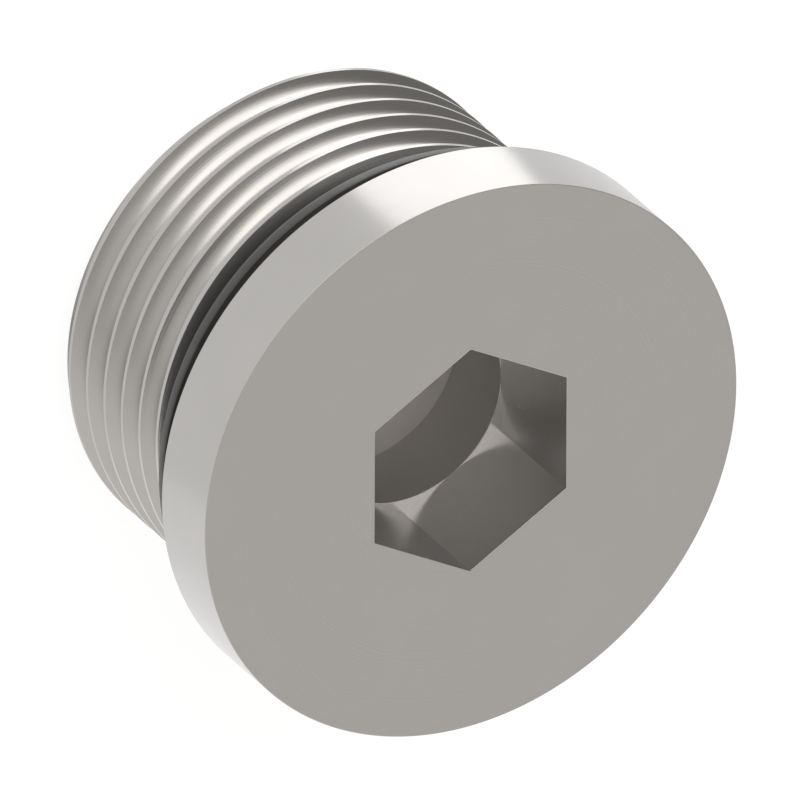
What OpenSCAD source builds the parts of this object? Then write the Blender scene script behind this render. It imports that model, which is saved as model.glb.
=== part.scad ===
// Screw plug for a straight-thread port, sealed by a rubber ring under its head.
// Sizes in millimetres. Z runs along the axis, zero is the flat tail end and the head is up.

/* [Head] */
// Diameter of the round head
head_d = 35.25; // [34:0.05:48]
// Height of the round head
head_h = 4.95; // [3:0.05:9]

/* [Drive socket] */
// Width of the hexagon socket across its flats
socket_af = 12.7; // [8:0.1:17]
// Depth of the flats below the top of the head
socket_depth = 7.55; // [4:0.05:10]
// How far the round bore goes on below the flats
bore_below = 5.1; // [1:0.1:8]
// Radial step from the middle of a flat in to the round bore
bore_step = 0.05; // [0.02:0.01:0.5]

/* [Thread] */
// Outside diameter of the thread
thread_d = 30; // [27:0.5:33]
// Rise of the thread in one turn
pitch = 2; // [1:0.25:2.5]
// Length of the shank from under the head to the tail end
shank_h = 17.4; // [15:0.1:30]
// Height and depth of the lead-in chamfer at the tail end
lead_chamfer = 1.5; // [0.5:0.1:2]
// Angle about the axis at which the thread groove enters the tail end
thread_angle = 106; // [0:1:359]

/* [Seal ring] */
// Thickness of the rubber ring
ring_section = 3.4; // [2.6:0.05:4]
// Outside diameter of the rubber ring
ring_d = 33.1; // [32:0.05:34]
// Gap left between the ring and the neck or the head
ring_gap = 0.05; // [0.02:0.01:0.2]
// Room left for the ring to spread along the neck
neck_room = 0.25; // [0.1:0.05:1]

/* [Hidden] */

// Colours of the two materials
steel = [0.64, 0.62, 0.6];
rubber = [0.1, 0.1, 0.1];

// Facets for round surfaces
fine = 96;
// Steps of the thread groove in one turn
groove_steps = 36;
// Overshoot of the cutting shapes past the surfaces they open
over = 0.1;
// Slope of a thread flank from a plane across the axis
flank = 30;
// Slope of the run-out cone between neck and thread, from the same plane
run_out = 20;

// Main radii and heights
head_r = head_d / 2;
thread_r = thread_d / 2;
total_h = shank_h + head_h;
// Centre circle of the rubber ring, its height and the neck it sits round
ring_r = (ring_d - ring_section) / 2;
ring_z = shank_h - ring_gap - ring_section / 2;
neck_r = ring_r - ring_section / 2 - ring_gap;
// Foot of the neck, and the top of the thread where the run-out cone ends
neck_z = shank_h - ring_section - ring_gap - neck_room;
thread_z = neck_z - (thread_r - neck_r) * tan(run_out);
// Socket corners and the bore below the flats
socket_r = socket_af / 2 / cos(30);
bore_r = socket_af / 2 - bore_step;
bore_depth = socket_depth + bore_below;
// Half widths of the groove at its root and at its mouth, and the depth of the basic profile
root_half = pitch / 8;
mouth_half = pitch * 7 / 16;
groove_depth = (mouth_half - root_half) / tan(flank);
// The groove starts one turn below the tail end and runs out in the free room of the neck
groove_z = -pitch;
groove_turns = (neck_z + pitch / 2 - groove_z) / pitch;

// Outline of the turned blank: chamfered tail, shank, run-out cone, neck and head
module blank() {
    rotate_extrude($fn = fine)
        polygon([
            [0, 0],
            [thread_r - lead_chamfer, 0],
            [thread_r, lead_chamfer],
            [thread_r, thread_z],
            [neck_r, neck_z],
            [neck_r, shank_h],
            [head_r, shank_h],
            [head_r, total_h],
            [0, total_h],
        ]);
}

// Right-hand helical groove with 60 degree flanks and a flat root
module thread_groove() {
    mouth = mouth_half + over * tan(flank);
    section = [
        [thread_r - groove_depth, -root_half],
        [thread_r + over, -mouth],
        [thread_r + over, mouth],
        [thread_r - groove_depth, root_half],
    ];
    rings = ceil(groove_turns * groove_steps);
    corners = [
        for (i = [0 : rings], p = section)
            let (turn = 360 * i / groove_steps + thread_angle)
                [p[0] * cos(turn), p[0] * sin(turn), p[1] + groove_z + pitch * i / groove_steps]
    ];
    last = 4 * rings;
    sides = [
        for (i = [0 : rings - 1], k = [0 : 3])
            let (a = 4 * i + k, b = 4 * i + (k + 1) % 4)
                each [[a, b, a + 4], [b, b + 4, a + 4]]
    ];
    ends = [[3, 2, 1, 0], [last, last + 1, last + 2, last + 3]];
    polyhedron(corners, concat(sides, ends));
}

// Hexagon socket with a round flat-bottomed bore below its flats
module drive_socket() {
    translate([0, 0, total_h - socket_depth])
        cylinder(r = socket_r, h = socket_depth + over, $fn = 6);
    translate([0, 0, total_h - bore_depth])
        cylinder(r = bore_r, h = bore_depth - socket_depth + over, $fn = fine);
}

// Steel plug, one piece: head, neck, threaded shank and drive socket
module plug() {
    color(steel)
        difference() {
            blank();
            thread_groove();
            drive_socket();
        }
}

// Rubber ring lying round the neck, against the underside of the head
module seal_ring() {
    color(rubber)
        translate([0, 0, ring_z])
            rotate_extrude($fn = fine)
                translate([ring_r, 0])
                    circle(d = ring_section, $fn = fine / 2);
}

plug();
seal_ring();
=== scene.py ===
"""A steel screw plug with a rubber seal ring, standing on its tail end on a pale floor.

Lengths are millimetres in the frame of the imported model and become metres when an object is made. Angles are
written in degrees.
"""
import math

import bpy
from mathutils import Matrix, Vector


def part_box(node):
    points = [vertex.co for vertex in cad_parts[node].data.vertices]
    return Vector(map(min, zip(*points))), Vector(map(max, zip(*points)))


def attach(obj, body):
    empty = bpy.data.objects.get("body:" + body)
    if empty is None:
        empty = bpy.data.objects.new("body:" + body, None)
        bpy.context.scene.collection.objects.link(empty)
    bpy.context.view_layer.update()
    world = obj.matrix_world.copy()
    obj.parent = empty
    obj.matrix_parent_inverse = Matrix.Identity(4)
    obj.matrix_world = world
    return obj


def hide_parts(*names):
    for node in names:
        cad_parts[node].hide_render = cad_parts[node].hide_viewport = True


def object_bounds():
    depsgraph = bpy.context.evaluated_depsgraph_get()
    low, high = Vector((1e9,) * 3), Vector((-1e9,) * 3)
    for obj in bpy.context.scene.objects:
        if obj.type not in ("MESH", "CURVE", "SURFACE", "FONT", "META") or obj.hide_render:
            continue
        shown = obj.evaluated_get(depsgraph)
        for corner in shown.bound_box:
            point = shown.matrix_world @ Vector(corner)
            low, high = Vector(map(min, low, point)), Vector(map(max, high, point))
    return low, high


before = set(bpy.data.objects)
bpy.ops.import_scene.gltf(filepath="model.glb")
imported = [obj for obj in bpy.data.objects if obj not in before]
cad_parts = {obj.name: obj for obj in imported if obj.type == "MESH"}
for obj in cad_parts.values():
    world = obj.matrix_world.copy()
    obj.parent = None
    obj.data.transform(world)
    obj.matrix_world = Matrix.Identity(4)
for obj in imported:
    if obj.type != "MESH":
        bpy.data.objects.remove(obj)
cad_low, cad_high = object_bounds()
ring_low, ring_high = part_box("seal_ring")
MM = 0.001


def rounded(size):
    """A size in millimetres, to the nearest micrometre."""
    return round(size, 3)


# head and seal ring, from the frame
HEAD_R, TOTAL_H = rounded(cad_high.x / MM), rounded(cad_high.z / MM)
RING_SECTION_R = 1.7
RING_R = rounded(ring_high.x / MM - RING_SECTION_R)
RING_Z = rounded((ring_low.z + ring_high.z) / 2 / MM)
RING_GAP = 0.05                          # gap between the ring and the neck or the head
NECK_ROOM = 0.25                         # room left for the ring to spread along the neck

# shank, as in the solid
SHANK_H = rounded(RING_Z + RING_SECTION_R + RING_GAP)
NECK_R = rounded(RING_R - RING_SECTION_R - RING_GAP)
NECK_Z = rounded(RING_Z - RING_SECTION_R - NECK_ROOM)    # foot of the neck
THREAD_R, PITCH, CHAMFER = 15.0, 2.0, 1.5
RUN_OUT = math.radians(20)               # slope of the cone between neck and thread
THREAD_Z = NECK_Z - (THREAD_R - NECK_R) * math.tan(RUN_OUT)
THREAD_ANGLE = 106.0                     # angle about the axis at which the groove's centre is at its start
GROOVE_START = -PITCH

# socket, as in the solid, but with a bore radius 0.06 larger, so that the ledge ends where a flat is nearest
SOCKET_FLAT_R, SOCKET_DEPTH = 6.35, 7.55
SOCKET_CORNER_R = SOCKET_FLAT_R / math.cos(math.radians(30))
SOCKET_LEDGE_Z = TOTAL_H - SOCKET_DEPTH
BORE_R, BORE_BELOW = SOCKET_FLAT_R + 0.01, 5.1
BORE_FLOOR_Z = SOCKET_LEDGE_Z - BORE_BELOW

# broken edges
EASE = 0.025                             # radius of the broken edges
HOLD = 0.03                              # distance of the loops that keep the flats flat beside them
ARC_STEPS = 3
THINNEST_LEDGE = 0.004                   # ledge in the socket at the middle of a flat, where it fades out
LEDGE_SHARE = 0.3                        # share of a narrow ledge that its broken edge may take

# thread groove, which the solid has with straight flanks and a flat root
MOUTH = PITCH * 7 / 16                   # half width of the groove at the crest
GROOVE_DEPTH, GROOVE_POWER = 0.87, 2.0   # its section is a power curve, so its root is round
GROOVE_STEPS = 14
FLANK = math.radians(30)                 # slope of the straight flank that it runs out on, into the neck
RELIEF_START, RELIEF_FULL = 1.75, 1.2    # room over its lower edge where that flank begins and is full
RELIEF_FLOOR = NECK_R + 0.1

# seal ring's relief, which its solid hasn't got
RING_LEDGE_Z = RING_Z + 0.03             # ledge round the ring, facing the head
RING_LEDGE_IN = 0.52                     # how far it steps in
RING_LEDGE_LIFT, RING_LEDGE_EDGE = 0.02, 0.06    # height and width of its eased outer edge
RING_LEDGE_CORNER = 0.05                 # size of its inner corner
RIDGE_ANGLE, RIDGE_WIDTH = -22, 2.2      # fine mould line round the outside: place and width on the section
RIDGE_HEIGHT = 0.025

# fineness of the meshes
COLUMNS = 360                            # a multiple of 6, so that the socket's corners lie on columns
RING_COLUMNS, RING_STEPS, RING_BACK_STEPS = 288, 57, 16
CORE_R = 0.5                             # radius of the fans that close the tail end and the bore's floor
SAMPLES = 200                            # heights at which a groove is compared with the blank
HALVINGS = 40                            # steps that then find where the two cross
TOUCH = 1e-9                             # a groove cuts the blank where it lies at least this much deeper
NEAR = 1e-4                              # points closer in height than this count as one
SHARP_ANGLE = 34                         # edges sharper than this are shaded as edges

# camera
VIEW_AZIMUTH, VIEW_ELEVATION = -78.95, 48.57     # direction from the part to the camera
AXIS_IN_PICTURE = (0.7556, 0.6551)               # where the axis points in the picture, right and down
PX_PER_MM = 17.41
FACE_CENTRE_PX = (470.25, 459.84)
PICTURE_PX = 800
CAMERA_AWAY = 300
CLIP_NEAR, CLIP_FAR = 1, 20000


def direction(azimuth, elevation):
    """Unit vector at an azimuth and an elevation in degrees."""
    a, e = math.radians(azimuth), math.radians(elevation)
    return Vector((math.cos(a) * math.cos(e), math.sin(a) * math.cos(e), math.sin(e)))


def place_camera():
    """Camera without perspective that sees the head's centre and the axis where the photo has them."""
    back = direction(VIEW_AZIMUTH, VIEW_ELEVATION)
    along = (Vector((0, 0, 1)) - back * back.z).normalized()
    across = back.cross(along)
    right = along * AXIS_IN_PICTURE[0] + across * AXIS_IN_PICTURE[1]
    up = across * AXIS_IN_PICTURE[0] - along * AXIS_IN_PICTURE[1]
    middle = (PICTURE_PX - 1) / 2
    off_right = (FACE_CENTRE_PX[0] - middle) / PX_PER_MM
    off_up = (middle - FACE_CENTRE_PX[1]) / PX_PER_MM
    aim = Vector((0, 0, TOTAL_H)) - right * off_right - up * off_up
    data = bpy.data.cameras.new("camera")
    data.type = "ORTHO"
    data.ortho_scale = PICTURE_PX / PX_PER_MM * MM
    data.clip_start, data.clip_end = CLIP_NEAR * MM, CLIP_FAR * MM
    camera = bpy.data.objects.new("camera", data)
    turn = Matrix((right, up, back)).transposed().to_4x4()
    camera.matrix_world = Matrix.Translation((aim + back * CAMERA_AWAY) * MM) @ turn
    bpy.context.scene.collection.objects.link(camera)
    bpy.context.scene.camera = camera


# mesh of the plug
def relief(centre):
    """How far, 0 to 1, the groove has changed from its own section to a straight flank into the neck."""
    room = THREAD_Z - (centre - MOUTH)
    share = max(0.0, min(1.0, (RELIEF_START - room) / (RELIEF_START - RELIEF_FULL)))
    return share * share * (3 - 2 * share)


def groove_radius(z, centre):
    """Radius of the groove's surface at a height z. Its root is round, except where the groove runs out."""
    dz = z - centre
    curve = THREAD_R - GROOVE_DEPTH * (1 - abs(dz / MOUTH) ** GROOVE_POWER)
    flank = max(RELIEF_FLOOR, THREAD_R - (dz + MOUTH) / math.tan(FLANK))
    return curve + (flank - curve) * relief(centre)


def blank_radius(z):
    """Radius of the turned blank at a height z, from the tail end to the foot of the neck."""
    if z < CHAMFER:
        return THREAD_R - CHAMFER + z
    if z <= THREAD_Z:
        return THREAD_R
    return THREAD_R - (z - THREAD_Z) / math.tan(RUN_OUT)


def is_cut(z, centre, least=0.0):
    """Whether the groove lies deeper than the blank at a height z."""
    return groove_radius(z, centre) < blank_radius(z) - least


def crossing(centre, low, high):
    """Height at which the groove's surface crosses the blank's, between two heights."""
    cut_below = is_cut(low, centre)
    for _ in range(HALVINGS):
        middle = (low + high) / 2
        if is_cut(middle, centre) == cut_below:
            low = middle
        else:
            high = middle
    return (low + high) / 2


def groove_span(centre):
    """Lowest and highest point of the groove where it cuts the blank, or None where it doesn't."""
    heights = [centre - MOUTH + 2 * MOUTH * i / SAMPLES for i in range(SAMPLES + 1)]
    heights = [z for z in heights if 0 <= z <= NECK_Z]
    cut = [i for i, z in enumerate(heights) if is_cut(z, centre, TOUCH)]
    if not cut:
        return None
    first, last = cut[0], cut[-1]
    low, high = heights[first], heights[last]
    if first > 0:
        low = crossing(centre, heights[first - 1], low)
    if last + 1 < len(heights):
        high = crossing(centre, high, heights[last + 1])
    return low, high


def thread_column(angle):
    """Points (key, radius, height) up the shank at one angle. Keys name the same line on every column."""
    first = GROOVE_START + PITCH * (angle - THREAD_ANGLE) / 360
    points, spans = [], []
    for turn in range(math.ceil((NECK_Z + MOUTH - first) / PITCH)):
        centre = first + PITCH * turn
        span = groove_span(centre)
        if not span:
            continue
        low, high = span
        spans.append(span)
        heights = {step: centre + MOUTH * (2 * step / GROOVE_STEPS - 1) for step in range(1, GROOVE_STEPS)}
        heights = {step: z for step, z in heights.items() if low + NEAR < z < high - NEAR}
        for step, z in {"in": low, **heights, "out": high}.items():
            points.append(((turn, step), groove_radius(z, centre), z))
    for number, z in enumerate((CHAMFER, THREAD_Z)):
        if not any(low - NEAR < z < high + NEAR for low, high in spans):
            points.append((("shoulder", number), THREAD_R, z))
    points.append((("neck",), NECK_R, NECK_Z))
    return sorted(points, key=lambda point: point[2])


def broken(before, here, after, radius, hold):
    """The corner of a profile, broken by an arc, with a point on each side that holds the flat beside it."""
    corner = Vector(here)
    back, on = (Vector(before) - corner).normalized(), (Vector(after) - corner).normalized()
    half = math.acos(back.dot(on)) / 2
    reach = radius / math.tan(half)
    middle = corner + (back + on).normalized() * radius / math.sin(half)
    points = [corner + back * (reach + hold)]
    for i in range(ARC_STEPS + 1):
        spoke = (corner + back * reach).lerp(corner + on * reach, i / ARC_STEPS) - middle
        points.append(middle + spoke.normalized() * radius)
    points.append(corner + on * (reach + hold))
    return [tuple(point) for point in points]


def eased(corners):
    """A profile with its outer corners broken. Its inner corners stay sharp."""
    profile = [corners[0]]
    for before, here, after in zip(corners, corners[1:], corners[2:]):
        turn = (here[0] - before[0]) * (after[1] - here[1]) - (here[1] - before[1]) * (after[0] - here[0])
        if turn > 0:
            profile += broken(before, here, after, EASE, HOLD)
        else:
            profile.append(here)
    profile.append(corners[-1])
    return profile


def above_neck(angle):
    """Profile (radius, height) from the neck over the head and down into the socket, at one angle."""
    flat_r = SOCKET_FLAT_R / math.cos(math.radians(angle % 60 - 30))
    bore_r = min(BORE_R, flat_r - THINNEST_LEDGE)
    head = [(NECK_R, NECK_Z), (NECK_R, SHANK_H), (HEAD_R, SHANK_H), (HEAD_R, TOTAL_H)]
    ledge = [(flat_r, SOCKET_LEDGE_Z), (bore_r, SOCKET_LEDGE_Z), (bore_r, BORE_FLOOR_Z)]
    share = min(1, LEDGE_SHARE * (flat_r - bore_r) / EASE)
    profile = eased([*head, (flat_r, TOTAL_H), ledge[0]])
    profile += broken(*ledge, EASE * share, HOLD * share)
    profile += [ledge[2], (CORE_R, BORE_FLOOR_Z)]
    return profile[1:]


def plug_column(angle):
    """Points (key, radius, height) from the tail end over the shank and the head to the bore's floor."""
    tail = eased([(CORE_R, 0.0), (THREAD_R - CHAMFER, 0.0), (THREAD_R, CHAMFER)])[:-1]
    tail_z = tail[-1][1]
    points = [(("end", i), r, z) for i, (r, z) in enumerate(tail)]
    points += [point for point in thread_column(angle) if point[2] > tail_z + NEAR]
    points += [(("top", i), r, z) for i, (r, z) in enumerate(above_neck(angle))]
    return points


def past_seam(column):
    """The first column as the last one meets it, where each turn of the groove has become the next."""
    return {(key[0] - 1, key[1]) if isinstance(key[0], int) else key: place for key, place in column.items()}


def stretch(column, low, high):
    """Vertices of a column from one key to another."""
    keys = list(column)
    return [column[key] for key in keys[keys.index(low):keys.index(high) + 1]]


def zipped(column_a, column_b, vertices):
    """Faces between two neighbouring columns. Lines with the same key are joined, and the rest is filled."""
    common = [key for key in column_a if key in column_b]
    faces = []
    for low, high in zip(common, common[1:]):
        chain_a, chain_b = stretch(column_a, low, high), stretch(column_b, low, high)
        if len(chain_a) == 2 and len(chain_b) == 2:
            faces.append((chain_a[0], chain_b[0], chain_b[1], chain_a[1]))
            continue
        i = j = 0
        while i < len(chain_a) - 1 or j < len(chain_b) - 1:
            up_a = vertices[chain_a[i + 1]][2] if i < len(chain_a) - 1 else math.inf
            up_b = vertices[chain_b[j + 1]][2] if j < len(chain_b) - 1 else math.inf
            if up_a < up_b:
                faces.append((chain_a[i], chain_b[j], chain_a[i + 1]))
                i += 1
            else:
                faces.append((chain_a[i], chain_b[j], chain_b[j + 1]))
                j += 1
    return faces


def plug_mesh():
    vertices, columns, faces = [], [], []
    for c in range(COLUMNS):
        angle = 360 * c / COLUMNS
        cos, sin = math.cos(math.radians(angle)), math.sin(math.radians(angle))
        column = {}
        for key, r, z in plug_column(angle):
            column[key] = len(vertices)
            vertices.append((r * cos * MM, r * sin * MM, z * MM))
        columns.append(column)
    for here, beyond in zip(columns, columns[1:] + [past_seam(columns[0])]):
        faces += zipped(here, beyond, vertices)
    tail_centre, floor_centre = len(vertices), len(vertices) + 1
    vertices += [(0, 0, 0), (0, 0, BORE_FLOOR_Z * MM)]
    ends = [(min(column.values()), max(column.values())) for column in columns]
    for (tail_a, floor_a), (tail_b, floor_b) in zip(ends, ends[1:] + ends[:1]):
        faces.append((tail_centre, tail_b, tail_a))
        faces.append((floor_centre, floor_a, floor_b))
    return vertices, faces


# mesh of the seal ring
def ring_section():
    """Section of the ring: round, with a ledge facing the head and a fine mould line round the outside."""
    ledge_angle = math.asin((RING_LEDGE_Z - RING_Z) / RING_SECTION_R)
    top = math.radians(90)
    points = []
    for i in range(RING_STEPS + 1):
        angle = top + (2 * math.pi + ledge_angle - top) * i / RING_STEPS
        off_ridge = math.degrees(angle) - (360 + RIDGE_ANGLE)
        r = RING_SECTION_R + RIDGE_HEIGHT * math.exp(-(off_ridge / RIDGE_WIDTH) ** 2)
        points.append((RING_R + r * math.cos(angle), RING_Z + r * math.sin(angle)))
    edge_r = points[-1][0]
    inner_r = edge_r - RING_LEDGE_IN
    ledge_top = RING_LEDGE_Z + RING_LEDGE_LIFT
    points.append((edge_r - RING_LEDGE_EDGE / 3, RING_LEDGE_Z + RING_LEDGE_LIFT * 3 / 4))
    points.append((edge_r - RING_LEDGE_EDGE, ledge_top))
    points.append((inner_r + RING_LEDGE_CORNER, ledge_top))
    back_foot = RING_LEDGE_Z + RING_LEDGE_CORNER
    back_height = RING_Z + RING_SECTION_R - back_foot
    for i in range(RING_BACK_STEPS):
        angle = math.pi / 2 * i / RING_BACK_STEPS
        r = RING_R + (inner_r - RING_R) * math.cos(angle)
        points.append((r, back_foot + back_height * math.sin(angle)))
    return points


def ring_mesh():
    vertices, faces = [], []
    section = ring_section()
    count = len(section)
    for c in range(RING_COLUMNS):
        angle = 2 * math.pi * c / RING_COLUMNS
        beyond = (c + 1) % RING_COLUMNS
        for i, (r, z) in enumerate(section):
            vertices.append((r * math.cos(angle) * MM, r * math.sin(angle) * MM, z * MM))
            k = (i + 1) % count
            faces.append((c * count + i, beyond * count + i, beyond * count + k, c * count + k))
    return vertices, faces


def make_object(name, vertices, faces, sharp_angle=None):
    mesh = bpy.data.meshes.new(name)
    mesh.from_pydata(vertices, [], faces)
    mesh.validate()
    mesh.shade_smooth()
    if sharp_angle:
        mesh.set_sharp_from_angle(angle=math.radians(sharp_angle))
    obj = bpy.data.objects.new(name, mesh)
    bpy.context.scene.collection.objects.link(obj)
    return obj


# materials
class Nodes:
    """A short way to write a node tree."""

    def __init__(self, owner):
        owner.use_nodes = True
        self.tree = owner.node_tree
        self.tree.nodes.clear()

    def add(self, kind, **settings):
        node = self.tree.nodes.new(kind)
        for key, value in settings.items():
            setattr(node, key, value)
        return node

    def join(self, source, target):
        self.tree.links.new(source, target)

    def feed(self, node, socket, value):
        target = node.inputs[socket]
        if isinstance(value, bpy.types.NodeSocket):
            self.join(value, target)
        else:
            target.default_value = value

    def math(self, operation, *values):
        node = self.add("ShaderNodeMath", operation=operation)
        for i, value in enumerate(values):
            self.feed(node, i, value)
        return node.outputs[0]

    def vector(self, operation, *values, out=0):
        node = self.add("ShaderNodeVectorMath", operation=operation)
        for i, value in enumerate(values):
            self.feed(node, i, value)
        return node.outputs[out]

    def span(self, value, low, high, to_low, to_high, kind):
        node = self.add("ShaderNodeMapRange", interpolation_type=kind)
        for socket, number in enumerate((value, low, high, to_low, to_high)):
            self.feed(node, socket, number)
        return node.outputs[0]

    def spread(self, noise, reach, low, high):
        """A noise that reaches so far on each side of its middle, spread evenly between two values."""
        return self.span(noise, 0.5 - reach, 0.5 + reach, low, high, "LINEAR")

    def noise(self, vector, scale, detail, roughness):
        node = self.add("ShaderNodeTexNoise")
        self.feed(node, "Vector", vector)
        self.feed(node, "Scale", scale)
        self.feed(node, "Detail", detail)
        self.feed(node, "Roughness", roughness)
        return node.outputs["Fac"]

    def surface(self, colour, roughness, metallic, height, strength):
        """A surface with a fine relief, as the material's output."""
        bump = self.add("ShaderNodeBump")
        self.feed(bump, "Strength", strength)
        self.feed(bump, "Distance", BUMP_HEIGHT * MM)
        self.feed(bump, "Height", height)
        skin = self.add("ShaderNodeBsdfPrincipled")
        self.feed(skin, "Metallic", metallic)
        self.feed(skin, "Base Color", colour)
        self.feed(skin, "Roughness", roughness)
        self.join(bump.outputs[0], skin.inputs["Normal"])
        self.join(skin.outputs[0], self.add("ShaderNodeOutputMaterial").inputs[0])


# Colour and roughness of each steel, and whether it is turned, in the order of the plug's material slots. The
# hex walls and the bore's floor are lighter copies of the steel: painted light inside the socket
STEELS = {
    "steel_turned": ((0.441, 0.43, 0.42), 0.235, True),
    # broached hex walls: a real rougher finish with marks along the axis, and painted light: a much lighter
    # copy of the steel so the socket's walls read brighter
    "steel_broached_painted_light": ((0.68, 0.672, 0.666), 0.3, False),
    "steel_drilled": ((0.49, 0.475, 0.463), 0.5, True),
    # bore floor: painted light, a much lighter and rougher copy of the steel that makes the deep bore's floor
    # look lit
    "steel_bore_floor_painted_light": ((0.86, 0.84, 0.82), 0.7, True),
}
TURNED, BROACHED_LIGHTENED, DRILLED, BORE_FLOOR = range(len(STEELS))
RUBBER = (0.04, 0.039, 0.0385)

# Relief and patterns of the surfaces. A scale is a number of grains to the metre
BUMP_HEIGHT = 0.03
STEEL_BUMP, RUBBER_BUMP = 0.22, 0.25
MARK_SCALE, STEEL_CLOUD_SCALE = 9000, 260
GRAIN_SCALE, RUBBER_CLOUD_SCALE = 6500, 500
MARK_SHARE = 0.6                         # share of the marks in the steel's relief, the rest is grain
RUBBER_ROUGHNESS = (0.42, 0.56)


def steel(name, colour, roughness, turned):
    """Satin steel. Turned faces carry fine marks round the axis, broached walls carry them along it."""
    material = bpy.data.materials.new(name)
    n = Nodes(material)
    place = n.add("ShaderNodeTexCoord").outputs["Object"]
    parts = n.add("ShaderNodeSeparateXYZ")
    n.join(place, parts.inputs[0])
    lay = n.add("ShaderNodeCombineXYZ")
    n.join(parts.outputs[0], lay.inputs[0])
    n.join(parts.outputs[1], lay.inputs[1])
    if turned:
        from_axis = n.vector("LENGTH", lay.outputs[0], out="Value")
        lay = n.add("ShaderNodeCombineXYZ")
        n.join(from_axis, lay.inputs[0])
        n.join(parts.outputs[2], lay.inputs[2])
    marks = n.noise(lay.outputs[0], MARK_SCALE, detail=3, roughness=0.6)
    grain = n.noise(place, MARK_SCALE, detail=2, roughness=0.6)
    cloud = n.noise(place, STEEL_CLOUD_SCALE, detail=3, roughness=0.5)
    tint = n.vector("MULTIPLY", colour, n.spread(cloud, reach=0.2, low=0.985, high=1.015))
    rough = n.math("ADD", n.spread(grain, reach=0.25, low=-0.025, high=0.025), roughness)
    rough = n.math("ADD", rough, n.spread(marks, reach=0.25, low=-0.02, high=0.02))
    marks_part = n.math("MULTIPLY", marks, MARK_SHARE)
    grain_part = n.math("MULTIPLY", grain, 1 - MARK_SHARE)
    height = n.math("ADD", marks_part, grain_part)
    n.surface(tint, rough, metallic=1.0, height=height, strength=STEEL_BUMP)
    return material


def rubber(name):
    """Satin black rubber with a fine moulded grain."""
    material = bpy.data.materials.new(name)
    n = Nodes(material)
    place = n.add("ShaderNodeTexCoord").outputs["Object"]
    grain = n.noise(place, GRAIN_SCALE, detail=3, roughness=0.6)
    cloud = n.noise(place, RUBBER_CLOUD_SCALE, detail=2, roughness=0.5)
    tint = n.vector("MULTIPLY", RUBBER, n.spread(cloud, reach=0.2, low=0.85, high=1.15))
    rough = n.spread(grain, reach=0.25, low=RUBBER_ROUGHNESS[0], high=RUBBER_ROUGHNESS[1])
    n.surface(tint, rough, metallic=0.0, height=grain, strength=RUBBER_BUMP)
    return material


UPRIGHT = 0.3                            # a face is upright where its normal rises less than this
BESIDE = 0.1                             # a face this close to a corner belongs to the surface beyond it


def steel_of(face):
    """Which steel a face of the plug has, by its place. The hex walls and the bore's floor get the lightened
    steels, painted light that brightens the socket's inside.
    """
    x, y, z = face.center / MM
    upright = abs(face.normal.z) < UPRIGHT
    if math.hypot(x, y) > SOCKET_CORNER_R + BESIDE or not BORE_FLOOR_Z - BESIDE <= z <= TOTAL_H - BESIDE:
        return TURNED
    if z < BORE_FLOOR_Z + BESIDE and not upright:
        return BORE_FLOOR
    if upright and z > SOCKET_LEDGE_Z:
        return BROACHED_LIGHTENED
    if z < SOCKET_LEDGE_Z - BESIDE:
        return DRILLED
    return TURNED


# studio: soft patches round the part. Each row has a turn and an elevation, the angles from the middle at
# which the patch has faded and up to which it is full, and the light that it adds
PATCHES = [
    (40, 14, 52, 24, 1.77),
    (78, 0, 32, 18, 1.23),
    (-125, 30, 60, 10, 0.54),
    (180, 48, 45, 5, 0.172),
    (-20, 35, 45, 10, 0.335),
    (38, 66, 32, 5, 0.05),
    (112, 42, 50, 15, -0.21),
]
DOME = 0.468
STUDIO_TINT = (1.027, 1.0, 0.971, 1)

FLOOR_GLOW, FLOOR_COLOUR = 0.84, (0.25, 0.25, 0.25, 1)
FLOOR_ROUGHNESS, FLOOR_SHINE = 0.9, 0.1
FLOOR_REACH, FLOOR_DROP = 3000, 0.02     # half width of the floor, and how far it lies below the part

# low soft lamps lying beside the part and facing up. Each row has a turn, the distance of the middle, a
# radius and a brightness
LOW_LAMPS = [
    (60, 34, 14, 1.17),
    (54, 25, 9.5, 1.01),
    (-98, 36, 20, 0.135),
    (-124, 40, 22, 0.156),
]
LAMP_HEIGHT = 0.4


def facing(turn, elevation):
    """Direction at an angle from the camera's own azimuth, turned the way the picture's right side lies."""
    return direction(VIEW_AZIMUTH - turn, elevation)


def light_world():
    """An even, faintly warm studio with soft patches."""
    world = bpy.data.worlds.new("studio")
    bpy.context.scene.world = world
    n = Nodes(world)
    way = n.vector("NORMALIZE", n.add("ShaderNodeTexCoord").outputs["Generated"])
    total = DOME
    for turn, elevation, fade, core, gain in PATCHES:
        near = n.vector("DOT_PRODUCT", way, facing(turn, elevation), out="Value")
        faded, full = math.cos(math.radians(fade)), math.cos(math.radians(core))
        total = n.math("ADD", n.span(near, faded, full, 0.0, gain, "SMOOTHSTEP"), total)
    back = n.add("ShaderNodeBackground")
    n.feed(back, "Color", STUDIO_TINT)
    n.join(total, back.inputs["Strength"])
    n.join(back.outputs[0], n.add("ShaderNodeOutputWorld").inputs[0])


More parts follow.
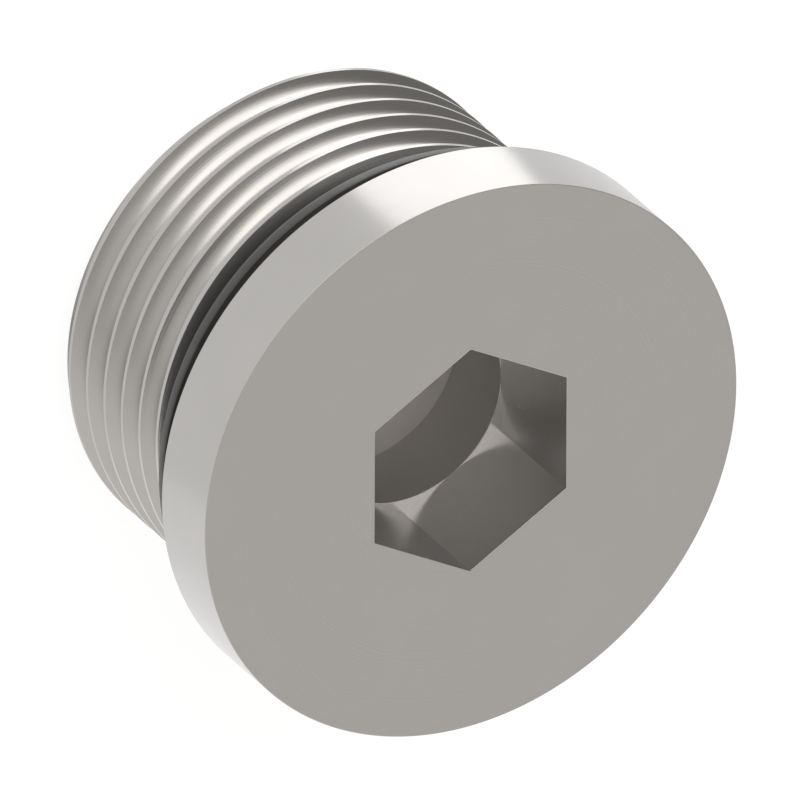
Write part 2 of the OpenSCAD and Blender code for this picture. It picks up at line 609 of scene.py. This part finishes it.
def make_floor():
    """A plain white floor. Its glow is the same for the camera and for what the metal mirrors.

    Diffuse rays don't see the glow, so it doesn't light the rubber or the floor itself.
    """
    material = bpy.data.materials.new("floor")
    n = Nodes(material)
    path = n.add("ShaderNodeLightPath")
    mirrored = n.math("MAXIMUM", path.outputs["Is Glossy Ray"], path.outputs["Is Transmission Ray"])
    seen = n.math("MAXIMUM", path.outputs["Is Camera Ray"], mirrored)
    glow = n.add("ShaderNodeEmission")
    n.feed(glow, "Strength", n.math("MULTIPLY", seen, FLOOR_GLOW))
    skin = n.add("ShaderNodeBsdfPrincipled")
    n.feed(skin, "Base Color", FLOOR_COLOUR)
    n.feed(skin, "Roughness", FLOOR_ROUGHNESS)
    n.feed(skin, "Specular IOR Level", FLOOR_SHINE)
    both = n.add("ShaderNodeAddShader")
    n.join(glow.outputs[0], both.inputs[0])
    n.join(skin.outputs[0], both.inputs[1])
    n.join(both.outputs[0], n.add("ShaderNodeOutputMaterial").inputs[0])
    corners = [(-1, -1), (1, -1), (1, 1), (-1, 1)]
    vertices = [(x * FLOOR_REACH * MM, y * FLOOR_REACH * MM, -FLOOR_DROP * MM) for x, y in corners]
    floor = make_object("floor", vertices, [(0, 1, 2, 3)])
    floor.data.materials.append(material)


def low_lamp(name, turn, distance, radius, brightness):
    """A round lamp lying beside the part. It shows as the given brightness in what mirrors it."""
    data = bpy.data.lights.new(name, "AREA")
    data.shape = "DISK"
    data.size = 2 * radius * MM
    data.energy = brightness * math.pi * math.pi * (radius * MM) ** 2
    lamp = bpy.data.objects.new(name, data)
    lamp.location = (facing(turn, 0) * distance + Vector((0, 0, LAMP_HEIGHT))) * MM
    lamp.rotation_euler = (math.pi, 0, 0)
    bpy.context.scene.collection.objects.link(lamp)


# assembly
place_camera()

plug = make_object("plug_steel", *plug_mesh(), sharp_angle=SHARP_ANGLE)
for name, look in STEELS.items():
    plug.data.materials.append(steel(name, *look))
for face in plug.data.polygons:
    face.material_index = steel_of(face)
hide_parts("plug")
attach(plug, "root")

ring = make_object("seal_ring_rubber", *ring_mesh())
ring.data.materials.append(rubber("rubber_black"))
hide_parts("seal_ring")
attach(ring, "root")

light_world()
make_floor()
for number, lamp in enumerate(LOW_LAMPS):
    low_lamp("low_lamp_%d" % number, *lamp)

bpy.context.scene.view_settings.view_transform = "Standard"
